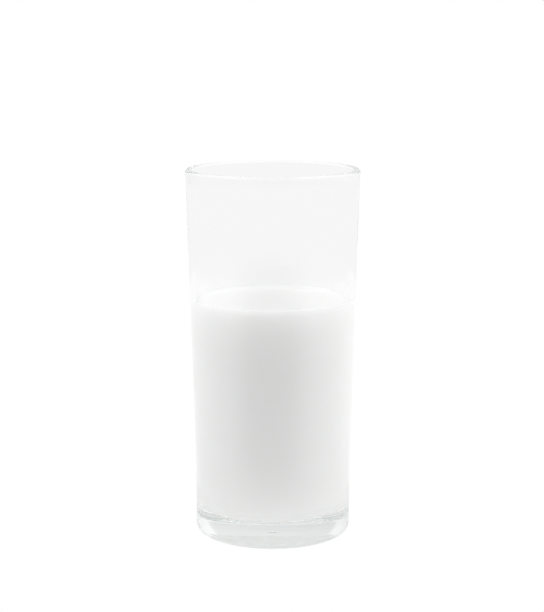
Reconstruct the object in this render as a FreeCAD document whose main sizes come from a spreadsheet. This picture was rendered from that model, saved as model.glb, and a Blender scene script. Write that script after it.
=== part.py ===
import FreeCAD, Part
import math
import os
import Sketcher

# A tall straight-sided tumbler of clear glass, about two thirds full of milk.
# Both pieces are turned about +Z. The origin is the middle of the foot, on the table.
# Sizes are in millimetres.

SIZES = [
    ("glass_height", 138.0, "top of the rim above the table"),
    ("rim_radius", 32.5, "widest radius, at the rounded lip"),
    ("lip_radius", 1.25, "radius of the fully rounded lip"),
    ("lip_height", 4.2, "height of the band that the lip flares over"),
    ("lip_overhang", 0.3, "how far the lip stands out from the wall below it"),
    ("wall_at_lip", 2.1, "wall thickness just below the lip"),
    ("wall_at_foot", 2.4, "wall thickness down at the foot"),
    ("foot_radius", 29.15, "outer radius of the straight foot"),
    ("foot_height", 25.0, "height where the wall starts to lean outwards"),
    ("heel_rounding", 2.5, "rounding between the foot and the underside"),
    ("ring_width", 3.15, "width of the flat ring that the glass stands on, inside the heel"),
    ("push_up", 1.2, "rise of the underside's shallow dome"),
    ("base_thickness", 9.6, "height of the inner floor above the table"),
    ("floor_rounding", 4.5, "rounding between the inner floor and the wall"),
    ("milk_level", 88.4, "flat surface of the milk above the table"),
    ("creep_height", 1.5, "how far the milk's edge creeps up the wall"),
    ("creep_width", 2.8, "how far in from the wall the milk's edge starts to rise"),
]

# Names that an outline uses for a corner on the axis or on the table, and for what holds a corner.
ON_AXIS = "on axis"
ON_TABLE = "on table"
BOTH = "radius and height"
HEIGHT_ONLY = "height only"
NEITHER = "neither"

# Point numbers on a sketch edge, and the sketch's own origin and axes.
START, END, CENTRE = 1, 2, 3
ORIGIN_POINT = (-1, 1)
LEVEL_AXIS = -1
UPRIGHT_AXIS = -2

# Radii and heights that more than one outline uses.
WALL_INSIDE_FOOT = "foot_radius - wall_at_foot"
WALL_INSIDE_NECK = "rim_radius - lip_overhang - wall_at_lip"
NECK_HEIGHT = "glass_height - lip_height"
RING_INSIDE = "foot_radius - heel_rounding - ring_width"
LIP_CENTRE_RADIUS = "rim_radius - lip_radius"
LIP_CENTRE_HEIGHT = "glass_height - lip_radius"
MILK_EDGE_HEIGHT = "milk_level + creep_height"

document = FreeCAD.newDocument("GlassOfMilk")

sheet = document.addObject("Spreadsheet::Sheet", "Sizes")
for row, (alias, size, meaning) in enumerate(SIZES, start=1):
    sheet.set(f"A{row}", meaning)
    sheet.set(f"B{row}", str(size))
    sheet.setAlias(f"B{row}", alias)
document.recompute()


def amount(formula):
    """Works out a sum of sizes, such as "foot_radius - wall_at_foot"."""
    result = 0.0
    sign = 1.0
    for word in formula.split():
        if word == "+":
            sign = 1.0
        elif word == "-":
            sign = -1.0
        else:
            result += sign * sheet.get(word)
    return result


def expression(formula):
    """Writes the same sum of sizes as an expression of the document."""
    return " ".join(word if word in ("+", "-") else f"Sizes.{word}" for word in formula.split())


def new_body(name):
    body = document.addObject("PartDesign::Body", name.capitalize())
    body.Label = name
    return body


def new_sketch(body, name):
    """Starts a sketch on the body's own upright plane, where x is the radius and y the height."""
    upright_plane = next(item for item in body.Origin.OriginFeatures if item.Role == "XZ_Plane")
    sketch = body.newObject("Sketcher::SketchObject", name)
    sketch.AttachmentSupport = [(upright_plane, "")]
    sketch.MapMode = "FlatFace"
    return sketch


def drive(sketch, constraint, formula):
    """Adds a size to a sketch and ties it to the sheet."""
    index = sketch.addConstraint(constraint)
    sketch.setExpression(f"Constraints[{index}]", expression(formula))


def join(sketch, edge, end, other_edge, other_end):
    sketch.addConstraint(Sketcher.Constraint("Coincident", edge, end, other_edge, other_end))


def hold_corner(sketch, edge, end, radius, height, held=BOTH):
    """Ties one end of an edge to its radius and height, or leaves them to a later constraint."""
    if held == BOTH and radius == ON_AXIS:
        sketch.addConstraint(Sketcher.Constraint("PointOnObject", edge, end, UPRIGHT_AXIS))
    elif held == BOTH:
        across = Sketcher.Constraint("DistanceX", *ORIGIN_POINT, edge, end, amount(radius))
        drive(sketch, across, radius)
    if held != NEITHER and height == ON_TABLE:
        sketch.addConstraint(Sketcher.Constraint("PointOnObject", edge, end, LEVEL_AXIS))
    elif held != NEITHER:
        up = Sketcher.Constraint("DistanceY", *ORIGIN_POINT, edge, end, amount(height))
        drive(sketch, up, height)


def point(radius, height):
    """Position that a radius and a height give."""
    across = 0.0 if radius == ON_AXIS else amount(radius)
    up = 0.0 if height == ON_TABLE else amount(height)
    return FreeCAD.Vector(across, up, 0.0)


def draw_chain(sketch, corners):
    """Draws straight edges from corner to corner and returns the numbers of the edges."""
    points = [point(radius, height) for radius, height, *_ in corners]
    edges = [
        sketch.addGeometry(Part.LineSegment(start, end))
        for start, end in zip(points, points[1:])
    ]
    for edge, next_edge in zip(edges, edges[1:]):
        join(sketch, edge, END, next_edge, START)
    hold_corner(sketch, edges[0], START, *corners[0])
    for edge, corner in zip(edges, corners[1:]):
        hold_corner(sketch, edge, END, *corner)
    return edges


def draw_arc(sketch, centre, radius, first_angle, last_angle):
    """Draws an arc, anticlockwise between two angles in radians, and returns its number."""
    circle = Part.Circle(centre, FreeCAD.Vector(0.0, 0.0, 1.0), radius)
    return sketch.addGeometry(Part.ArcOfCircle(circle, first_angle, last_angle))


def turn(body, sketch, name):
    """Turns a closed outline once round the upright axis."""
    turned = body.newObject("PartDesign::Revolution", name)
    turned.Profile = sketch
    turned.ReferenceAxis = (sketch, ["V_Axis"])
    turned.Angle = 360.0
    sketch.Visibility = False
    document.recompute()
    return turned


def ring_edge(feature, radius, height):
    """Name of the round edge of a turned feature at a radius and a height."""
    tolerance = 1e-4
    place = point(radius, height)
    for number, edge in enumerate(feature.Shape.Edges, start=1):
        if edge.Degenerated or edge.Curve.TypeId != "Part::GeomCircle":
            continue
        same_radius = abs(edge.Curve.Radius - place.x) < tolerance
        same_height = abs(edge.Curve.Center.z - place.y) < tolerance
        if same_radius and same_height:
            return f"Edge{number}"
    raise ValueError(f"{feature.Name} has no round edge at {radius}, {height}")


def round_off(body, base, name, radius, height, size_name):
    """Rounds one round edge of a feature by a size from the sheet."""
    fillet = body.newObject("PartDesign::Fillet", name)
    fillet.Base = (base, [ring_edge(base, radius, height)])
    fillet.setExpression("Radius", f"Sizes.{size_name}")
    document.recompute()
    return fillet


def make_glass():
    """The tumbler: a thick base, a wall that leans outwards and a rounded lip."""
    body = new_body("glass")
    sketch = new_sketch(body, "GlassOutline")
    inside = draw_chain(sketch, [
        (ON_AXIS, "push_up"),
        (ON_AXIS, "base_thickness"),
        (WALL_INSIDE_FOOT, "base_thickness"),
        (WALL_INSIDE_FOOT, "foot_height"),
        (WALL_INSIDE_NECK, NECK_HEIGHT),
        (LIP_CENTRE_RADIUS + " - lip_radius", LIP_CENTRE_HEIGHT, NEITHER),
    ])
    outside = draw_chain(sketch, [
        (LIP_CENTRE_RADIUS + " + lip_radius", LIP_CENTRE_HEIGHT, NEITHER),
        ("rim_radius - lip_overhang", NECK_HEIGHT),
        ("foot_radius", "foot_height"),
        ("foot_radius", ON_TABLE),
        (RING_INSIDE, ON_TABLE),
    ])

    # The lip is one round arc that runs smoothly into the wall on both sides.
    lip_centre = point(LIP_CENTRE_RADIUS, LIP_CENTRE_HEIGHT)
    lip = draw_arc(sketch, lip_centre, amount("lip_radius"), 0.0, math.pi)
    hold_corner(sketch, lip, CENTRE, LIP_CENTRE_RADIUS, LIP_CENTRE_HEIGHT)
    drive(sketch, Sketcher.Constraint("Radius", lip, amount("lip_radius")), "lip_radius")
    sketch.addConstraint(Sketcher.Constraint("Tangent", lip, START, outside[0], START))
    sketch.addConstraint(Sketcher.Constraint("Tangent", lip, END, inside[-1], END))

    # The underside rises from the standing ring to the axis in one shallow arc.
    ring_radius = amount(RING_INSIDE)
    push_up = amount("push_up")
    dome_radius = (ring_radius ** 2 + push_up ** 2) / (2.0 * push_up)
    dome_centre = FreeCAD.Vector(0.0, push_up - dome_radius, 0.0)
    ring_angle = math.atan2(dome_radius - push_up, ring_radius)
    dome = draw_arc(sketch, dome_centre, dome_radius, ring_angle, math.pi / 2.0)
    join(sketch, dome, START, outside[-1], END)
    join(sketch, dome, END, inside[0], START)
    sketch.addConstraint(Sketcher.Constraint("PointOnObject", dome, CENTRE, UPRIGHT_AXIS))

    turned = turn(body, sketch, "GlassTurned")
    heel = round_off(body, turned, "Heel", "foot_radius", ON_TABLE, "heel_rounding")
    round_off(body, heel, "Floor", WALL_INSIDE_FOOT, "base_thickness", "floor_rounding")
    return body


def make_milk():
    """The milk: it wets the floor and wall of the tumbler and creeps a little up the wall."""
    body = new_body("milk")
    sketch = new_sketch(body, "MilkOutline")
    edges = draw_chain(sketch, [
        (WALL_INSIDE_FOOT + " - creep_width", "milk_level", HEIGHT_ONLY),
        (ON_AXIS, "milk_level"),
        (ON_AXIS, "base_thickness"),
        (WALL_INSIDE_FOOT, "base_thickness"),
        (WALL_INSIDE_FOOT, "foot_height"),
        (WALL_INSIDE_FOOT, MILK_EDGE_HEIGHT, HEIGHT_ONLY),
    ])
    surface = edges[0]
    wall = edges[-1]

    # The upper end of the wall's edge lies on the tumbler's leaning inner wall.
    guide = draw_chain(sketch, [(WALL_INSIDE_FOOT, "foot_height"), (WALL_INSIDE_NECK, NECK_HEIGHT)])[0]
    sketch.setConstruction(guide, True)
    sketch.addConstraint(Sketcher.Constraint("PointOnObject", wall, END, guide))
    width = Sketcher.Constraint("DistanceX", surface, START, wall, END, amount("creep_width"))
    drive(sketch, width, "creep_width")

    # The surface leaves the level in a hollow curve that ends on the wall.
    creep_height = amount("creep_height")
    creep_width = amount("creep_width")
    creep_radius = (creep_width ** 2 + creep_height ** 2) / (2.0 * creep_height)
    creep_start = point(WALL_INSIDE_FOOT + " - creep_width", "milk_level")
    creep_centre = creep_start + FreeCAD.Vector(0.0, creep_radius, 0.0)
    creep_turn = 2.0 * math.atan2(creep_height, creep_width)
    straight_down = -math.pi / 2.0
    creep = draw_arc(sketch, creep_centre, creep_radius, straight_down, straight_down + creep_turn)
    join(sketch, creep, END, wall, END)
    sketch.addConstraint(Sketcher.Constraint("Tangent", creep, START, surface, START))

    turned = turn(body, sketch, "MilkTurned")
    round_off(body, turned, "MilkFloor", WALL_INSIDE_FOOT, "base_thickness", "floor_rounding")
    return body


bodies = [make_glass(), make_milk()]
document.recompute()

for item in document.Objects:
    if "Invalid" in item.State or "Error" in item.State:
        raise RuntimeError(f"{item.Name} failed: {item.State}")
for body in bodies:
    if body.Shape.isNull() or not body.Shape.isValid() or len(body.Shape.Solids) != 1:
        raise RuntimeError(f"{body.Label} isn't one valid solid")

os.makedirs("parts", exist_ok=True)
for body in bodies:
    body.Shape.exportStep(f"parts/{body.Label}.step")
    print(body.Label, "volume", round(body.Shape.Volume / 1000.0, 2), "cm3")
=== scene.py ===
import math

import bpy
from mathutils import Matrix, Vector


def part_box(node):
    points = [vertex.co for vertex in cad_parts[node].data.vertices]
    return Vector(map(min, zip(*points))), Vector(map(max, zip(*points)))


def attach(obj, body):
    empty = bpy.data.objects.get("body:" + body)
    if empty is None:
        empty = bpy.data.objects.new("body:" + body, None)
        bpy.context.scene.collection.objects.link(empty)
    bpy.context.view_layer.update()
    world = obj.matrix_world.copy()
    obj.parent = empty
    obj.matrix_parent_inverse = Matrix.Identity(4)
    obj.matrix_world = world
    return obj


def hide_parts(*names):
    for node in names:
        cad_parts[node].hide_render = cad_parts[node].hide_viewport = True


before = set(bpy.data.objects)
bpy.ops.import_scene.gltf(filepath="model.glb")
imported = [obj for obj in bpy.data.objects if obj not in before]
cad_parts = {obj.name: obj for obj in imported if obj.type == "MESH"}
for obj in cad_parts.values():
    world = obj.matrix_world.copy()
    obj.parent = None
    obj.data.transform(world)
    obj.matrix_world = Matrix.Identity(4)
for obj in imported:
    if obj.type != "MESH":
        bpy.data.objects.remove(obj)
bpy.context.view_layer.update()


# ---------------------------------------------------------------------------------------------
# The tumbler. A tall, straight drinking glass in one piece of clear soda-lime glass, blown into a
# mould on a thick base. Its wall leans out a little above a straight foot, and the cut lip was
# melted round with a flame. It stands by itself on a narrow flat ring round a shallow dome.

MM = 0.001

glass_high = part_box("glass")[1]
rim_radius = glass_high.x
glass_height = glass_high.z

lip_radius = 1.25 * MM
lip_height = 4.2 * MM
lip_overhang = 0.3 * MM
wall_at_lip = 2.1 * MM
wall_at_foot = 2.4 * MM
foot_radius = 29.15 * MM
foot_height = 25.0 * MM
foot_sweep = 6.0 * MM
heel_rounding = 2.5 * MM
ring_width = 3.15 * MM
push_up = 1.2 * MM
base_thickness = 9.6 * MM
floor_rounding = 4.5 * MM

neck_height = glass_height - lip_height
TURN_STEPS = 360


def arc(centre_radius, centre_height, radius, first, last, steps):
    """Points of an outline on an arc between two angles in degrees, anticlockwise or clockwise."""
    angles = [math.radians(first + (last - first) * step / steps) for step in range(steps + 1)]
    return [
        (centre_radius + radius * math.cos(angle), centre_height + radius * math.sin(angle))
        for angle in angles
    ]


def spread(first, last, steps):
    """Evenly spaced values from first to last, with both ends."""
    return [first + (last - first) * step / steps for step in range(steps + 1)]


def wall_radius(height, foot, neck):
    """Radius of a wall that is straight at the foot, then leans out to the neck in a soft sweep."""
    lean = (neck - foot) / (neck_height - foot_height)
    above = height - foot_height
    return foot + lean * (above + math.hypot(above, foot_sweep)) / 2.0


def outside_radius(height):
    return wall_radius(height, foot_radius, rim_radius - lip_overhang)


def inside_radius(height):
    return wall_radius(height, foot_radius - wall_at_foot, rim_radius - lip_overhang - wall_at_lip)


def tangent_angle(radius, height):
    """Angles in degrees at the lip's centre: towards a point, and from there to where its tangent touches."""
    across = radius - (rim_radius - lip_radius)
    up = height - (glass_height - lip_radius)
    opening = math.degrees(math.acos(lip_radius / math.hypot(across, up)))
    return math.degrees(math.atan2(up, across)), opening


def turned(name, outline):
    """Turns an outline of (radius, height) points about the upright axis into one closed mesh."""
    rings = [point for point in outline if point[0] > 0.0]
    low_pole, high_pole = outline[0], outline[-1]
    points = []
    for radius, height in rings:
        for step in range(TURN_STEPS):
            angle = 2.0 * math.pi * step / TURN_STEPS
            points.append((radius * math.cos(angle), radius * math.sin(angle), height))
    faces = []
    for ring in range(len(rings) - 1):
        for step in range(TURN_STEPS):
            beside = (step + 1) % TURN_STEPS
            here, above = ring * TURN_STEPS, (ring + 1) * TURN_STEPS
            faces.append((here + step, here + beside, above + beside, above + step))
    first_pole = len(points)
    points.append((0.0, 0.0, low_pole[1]))
    points.append((0.0, 0.0, high_pole[1]))
    last_ring = (len(rings) - 1) * TURN_STEPS
    for step in range(TURN_STEPS):
        beside = (step + 1) % TURN_STEPS
        faces.append((first_pole, beside, step))
        faces.append((first_pole + 1, last_ring + step, last_ring + beside))
    mesh = bpy.data.meshes.new(name)
    mesh.from_pydata(points, [], faces)
    mesh.shade_smooth()
    piece = bpy.data.objects.new(name, mesh)
    bpy.context.scene.collection.objects.link(piece)
    return piece


def linear(hex_colour):
    """Linear colour of an sRGB hex value such as "f4f1e8"."""
    shares = [int(hex_colour[at:at + 2], 16) / 255.0 for at in (0, 2, 4)]
    return tuple(
        share / 12.92 if share <= 0.04045 else ((share + 0.055) / 1.055) ** 2.4
        for share in shares
    ) + (1.0,)


def add_node(tree, kind, settings=None, sockets=None):
    """Adds a node, sets it up, and gives its sockets a value or a link from another node's output."""
    node = tree.nodes.new(kind)
    for name, value in (settings or {}).items():
        setattr(node, name, value)
    for name, value in (sockets or {}).items():
        if isinstance(value, bpy.types.NodeSocket):
            tree.links.new(value, node.inputs[name])
        else:
            node.inputs[name].default_value = value
    return node


# The outline runs from the top of the underside's dome, out over the ring and heel, up the
# outside, over the lip, down the inside and in across the inner floor.
ring_inside = foot_radius - heel_rounding - ring_width
dome_radius = (ring_inside ** 2 + push_up ** 2) / (2.0 * push_up)
dome_angle = math.degrees(math.asin(ring_inside / dome_radius))
outline = arc(0.0, push_up - dome_radius, dome_radius, 90.0, 90.0 - dome_angle, 10)
outline += [(ring_inside + ring_width / 2.0, 0.0)]
outline += arc(foot_radius - heel_rounding, heel_rounding, heel_rounding, -90.0, 0.0, 14)
outline += [(outside_radius(height), height) for height in spread(heel_rounding, neck_height, 60)[1:]]
towards, opening = tangent_angle(outside_radius(neck_height), neck_height)
first_angle = towards + opening
towards, opening = tangent_angle(inside_radius(neck_height), neck_height)
last_angle = towards - opening + 360.0
outline += arc(rim_radius - lip_radius, glass_height - lip_radius, lip_radius, first_angle, last_angle, 28)
floor_corner = inside_radius(base_thickness + floor_rounding)
outline += [
    (inside_radius(height), height)
    for height in spread(neck_height, base_thickness + floor_rounding, 60)[:-1]
]
outline += arc(
    floor_corner - floor_rounding, base_thickness + floor_rounding, floor_rounding, 0.0, -90.0, 14
)
outline += [((floor_corner - floor_rounding) / 2.0, base_thickness), (0.0, base_thickness)]
tumbler = turned("tumbler", outline)

# Fire-polished soda-lime glass: clear and colourless face on, faintly green through its edge,
# with a mirror-smooth skin whose slow ripple bends what shows through it by a hair.
ripple_size = 18.0 * MM
ripple_depth = 0.05 * MM

glass_material = bpy.data.materials.new("soda_lime_glass_fire_polished")
glass_material.use_nodes = True
tree = glass_material.node_tree
tree.nodes.clear()
place = add_node(tree, "ShaderNodeTexCoord")
ripple = add_node(tree, "ShaderNodeTexNoise", {}, {
    "Vector": place.outputs["Object"], "Scale": 1.0 / ripple_size, "Detail": 1.0,
})
bump = add_node(tree, "ShaderNodeBump", {}, {
    "Height": ripple.outputs["Fac"], "Strength": 0.15, "Distance": ripple_depth,
})
shader = add_node(tree, "ShaderNodeBsdfPrincipled", {}, {
    "Base Color": linear("ffffff"),
    "Roughness": 0.0,
    "IOR": 1.52,
    "Transmission Weight": 1.0,
    "Normal": bump.outputs["Normal"],
})
tint = add_node(tree, "ShaderNodeVolumeAbsorption", {}, {"Color": linear("cdd6d3"), "Density": 4.0})
add_node(tree, "ShaderNodeOutputMaterial", {}, {
    "Surface": shader.outputs["BSDF"], "Volume": tint.outputs["Volume"],
})
tumbler.data.materials.append(glass_material)
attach(tumbler, "root")
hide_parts("glass")


# ---------------------------------------------------------------------------------------------
# The milk. Whole cow's milk poured in to about two thirds. It wets the inner floor and wall with
# no air between, lies level, and its edge creeps up the glass by surface tension.

milk_low, milk_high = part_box("milk")
creep_height = 1.5 * MM
creep_reach = 1.3 * MM
creep_end = 8.0 * MM
milk_level = milk_high.z - creep_height
bite = 0.05 * MM

# The milk bites a hair into the glass all round, so no air shows between the two.
corner_height = milk_low.z + floor_rounding
corner_radius = inside_radius(corner_height) - floor_rounding
milk_outline = [(0.0, milk_low.z - bite), (corner_radius / 2.0, milk_low.z - bite)]
milk_outline += arc(corner_radius, corner_height, floor_rounding + bite, -90.0, 0.0, 14)
milk_outline += [
    (inside_radius(height) + bite, height)
    for height in spread(corner_height, milk_high.z, 40)[1:]
]
edge_radius = inside_radius(milk_high.z) + bite
for reach in spread(0.0, creep_end, 40)[1:]:
    rise = creep_height * math.exp(-reach / creep_reach)
    milk_outline.append((edge_radius - reach, milk_level + rise))
milk_outline += [(edge_radius / 2.0, milk_level), (0.0, milk_level)]
milk = turned("milk_fill", milk_outline)
# The thin edge where the milk meets the glass stays crisp.
milk.data.set_sharp_from_angle(angle=math.radians(30.0))

# Whole milk, a white emulsion of fat droplets: light goes in a few millimetres, spreads and comes
# out again, so its body looks soft and its edges glow. Cream that is not quite mixed in lets the
# white drift by a hair, and the free surface has a wet sheen.
swirl_size = 22.0 * MM
light_spread = 9.0 * MM

milk_material = bpy.data.materials.new("whole_milk_poured")
milk_material.use_nodes = True
tree = milk_material.node_tree
tree.nodes.clear()
place = add_node(tree, "ShaderNodeTexCoord")
swirl = add_node(tree, "ShaderNodeTexNoise", {}, {
    "Vector": place.outputs["Object"], "Scale": 1.0 / swirl_size, "Detail": 2.0, "Distortion": 0.6,
})
white = add_node(tree, "ShaderNodeMix", {"data_type": "RGBA"}, {
    "Factor": swirl.outputs["Fac"], "A": linear("fefefd"), "B": linear("fbfbfb"),
})
shader = add_node(tree, "ShaderNodeBsdfPrincipled", {}, {
    "Base Color": white.outputs["Result"],
    "Roughness": 0.25,
    "IOR": 1.35,
    "Subsurface Weight": 1.0,
    "Subsurface Radius": (1.0, 0.97, 0.92),
    "Subsurface Scale": light_spread,
})
add_node(tree, "ShaderNodeOutputMaterial", {}, {"Surface": shader.outputs["BSDF"]})
milk.data.materials.append(milk_material)
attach(milk, "root")
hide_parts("milk")


# ---------------------------------------------------------------------------------------------
# The floor: a white light table, lit from below, so nothing throws a shadow on it. On the milk it
# shines evenly from nearby and far off, and from a ring between, strongly at the sides and not at
# all in front, which gives the milk its soft grey middle. Seen directly it is plain white all over.
# Through the glass, or mirrored in it, the ring shows only between two milder limits.

table_reach = 6.0
table_gap = 0.02 * MM

# Strengths of the light, then the way the ring brightens, then radii in metres.
glow_near = 0.87
glow_far = 0.93
glow_ring = 0.53
glow_sides = 1.15
least_through_glass = 0.2
most_through_glass = 0.98
ring_backwards = (0.15, 1.0, 0.0)
ring_begins = 0.07
ring_full = 0.13
ring_fades = 0.38
ring_ends = 0.57

table_mesh = bpy.data.meshes.new("light_table")
table_mesh.from_pydata(
    [(-table_reach, -table_reach, 0.0), (table_reach, -table_reach, 0.0),
     (table_reach, table_reach, 0.0), (-table_reach, table_reach, 0.0)],
    [], [(0, 1, 2, 3)],
)
table = bpy.data.objects.new("light_table", table_mesh)
table.location.z = -table_gap
bpy.context.scene.collection.objects.link(table)

# Opal acrylic over rows of lamps: matt and even, with no grain to see.
table_material = bpy.data.materials.new("opal_acrylic_lit_from_below")
table_material.use_nodes = True
tree = table_material.node_tree
tree.nodes.clear()
place = add_node(tree, "ShaderNodeTexCoord")
distance = add_node(tree, "ShaderNodeVectorMath", {"operation": "LENGTH"}, {0: place.outputs["Object"]})
away = add_node(tree, "ShaderNodeVectorMath", {"operation": "NORMALIZE"}, {0: place.outputs["Object"]})
away_parts = add_node(tree, "ShaderNodeSeparateXYZ", {}, {0: away.outputs["Vector"]})
sideways = add_node(tree, "ShaderNodeMath", {"operation": "MULTIPLY"}, {
    0: away_parts.outputs["X"], 1: away_parts.outputs["X"],
})
side_glow = add_node(tree, "ShaderNodeMath", {"operation": "MULTIPLY_ADD"}, {
    0: sideways.outputs["Value"], 1: glow_sides, 2: glow_ring,
})
backwards = add_node(tree, "ShaderNodeVectorMath", {"operation": "DOT_PRODUCT"}, {
    0: away.outputs["Vector"], 1: ring_backwards,
})
ring_glow = add_node(tree, "ShaderNodeMath", {"operation": "MULTIPLY_ADD"}, {
    0: backwards.outputs["Value"], 1: glow_ring, 2: side_glow.outputs["Value"],
})
ring_start = add_node(tree, "ShaderNodeMapRange", {"interpolation_type": "LINEAR"}, {
    "Value": distance.outputs["Value"], "From Min": ring_begins, "From Max": ring_full,
})
ring_end = add_node(tree, "ShaderNodeMapRange", {"interpolation_type": "LINEAR"}, {
    "Value": distance.outputs["Value"], "From Min": ring_fades, "From Max": ring_ends,
})
inner_glow = add_node(tree, "ShaderNodeMix", {"data_type": "FLOAT"}, {
    "Factor": ring_start.outputs["Result"], "A": glow_near, "B": ring_glow.outputs["Value"],
})
glow = add_node(tree, "ShaderNodeMix", {"data_type": "FLOAT"}, {
    "Factor": ring_end.outputs["Result"], "A": inner_glow.outputs["Result"], "B": glow_far,
})
path = add_node(tree, "ShaderNodeLightPath")
through_glass = add_node(tree, "ShaderNodeClamp", {}, {
    "Value": glow.outputs["Result"], "Min": least_through_glass, "Max": most_through_glass,
})
on_milk = add_node(tree, "ShaderNodeMath", {"operation": "GREATER_THAN"}, {
    0: path.outputs["Diffuse Depth"], 1: 0.5,
})
shining = add_node(tree, "ShaderNodeMix", {"data_type": "FLOAT"}, {
    "Factor": on_milk.outputs["Value"],
    "A": through_glass.outputs["Result"],
    "B": glow.outputs["Result"],
})
seen = add_node(tree, "ShaderNodeMath", {"operation": "MAXIMUM"}, {
    0: shining.outputs["Result"], 1: path.outputs["Is Camera Ray"],
})
shader = add_node(tree, "ShaderNodeEmission", {}, {
    "Color": linear("ffffff"), "Strength": seen.outputs["Value"],
})
add_node(tree, "ShaderNodeOutputMaterial", {}, {"Surface": shader.outputs["Emission"]})
table.data.materials.append(table_material)

# The tent: white cloth all round and overhead, lighter towards the top and the back. Behind the
# glass hangs a backdrop a shade darker, which the underside of the base mirrors as a grey band.
# Seen directly, all of it is plain white.
cloth_level = 0.84
cloth_lean = (0.05, 0.11, 0.34)
backdrop_shade = 0.20
backdrop_starts = 0.66
backdrop_full = 0.74
above_table_starts = 0.02
above_table_full = 0.12

world = bpy.data.worlds.new("white_tent")
bpy.context.scene.world = world
world.use_nodes = True
tree = world.node_tree
tree.nodes.clear()
place = add_node(tree, "ShaderNodeTexCoord")
lean = add_node(tree, "ShaderNodeVectorMath", {"operation": "DOT_PRODUCT"}, {
    0: place.outputs["Generated"], 1: cloth_lean,
})
cloth = add_node(tree, "ShaderNodeMath", {"operation": "ADD"}, {
    0: lean.outputs["Value"], 1: cloth_level,
})
place_parts = add_node(tree, "ShaderNodeSeparateXYZ", {}, {0: place.outputs["Generated"]})
behind = add_node(tree, "ShaderNodeMapRange", {"interpolation_type": "SMOOTHSTEP"}, {
    "Value": place_parts.outputs["Y"],
    "From Min": backdrop_starts, "From Max": backdrop_full, "To Max": backdrop_shade,
})
above_table = add_node(tree, "ShaderNodeMapRange", {"interpolation_type": "SMOOTHSTEP"}, {
    "Value": place_parts.outputs["Z"], "From Min": above_table_starts, "From Max": above_table_full,
})
shade = add_node(tree, "ShaderNodeMath", {"operation": "MULTIPLY"}, {
    0: behind.outputs["Result"], 1: above_table.outputs["Result"],
})
hung_cloth = add_node(tree, "ShaderNodeMath", {"operation": "SUBTRACT"}, {
    0: cloth.outputs["Value"], 1: shade.outputs["Value"],
})
path = add_node(tree, "ShaderNodeLightPath")
seen = add_node(tree, "ShaderNodeMath", {"operation": "MAXIMUM"}, {
    0: hung_cloth.outputs["Value"], 1: path.outputs["Is Camera Ray"],
})
backdrop = add_node(tree, "ShaderNodeBackground", {}, {
    "Color": linear("ffffff"), "Strength": seen.outputs["Value"],
})
add_node(tree, "ShaderNodeOutputWorld", {}, {"Surface": backdrop.outputs["Background"]})


# ---------------------------------------------------------------------------------------------
# The camera: a portrait lens about 0.6 m in front of the glass and 6 cm higher than its rim, tipped
# down by about 10 degrees.

camera_distance = 617.8 * MM
camera_height = 199.9 * MM
camera_aside = -0.3 * MM
tipped_down = 10.43

camera_data = bpy.data.cameras.new("camera")
camera_data.lens = 98.4
camera_data.sensor_width = 36.0
camera = bpy.data.objects.new("camera", camera_data)
bpy.context.scene.collection.objects.link(camera)
camera.location = (camera_aside, -camera_distance, camera_height)
camera.rotation_euler = (math.radians(90.0 - tipped_down), 0.0, 0.0)
bpy.context.scene.camera = camera
bpy.context.scene.view_settings.view_transform = "Standard"

# Light crosses many clear faces in the glass before it reaches the milk or the floor, so its paths
# may run long and aren't blurred. Shorter or blurred ones leave the rim and the milk too dark.
bpy.context.scene.cycles.blur_glossy = 0.0
bpy.context.scene.cycles.max_bounces = 64
bpy.context.scene.cycles.diffuse_bounces = 16
bpy.context.scene.cycles.glossy_bounces = 64
bpy.context.scene.cycles.transmission_bounces = 64
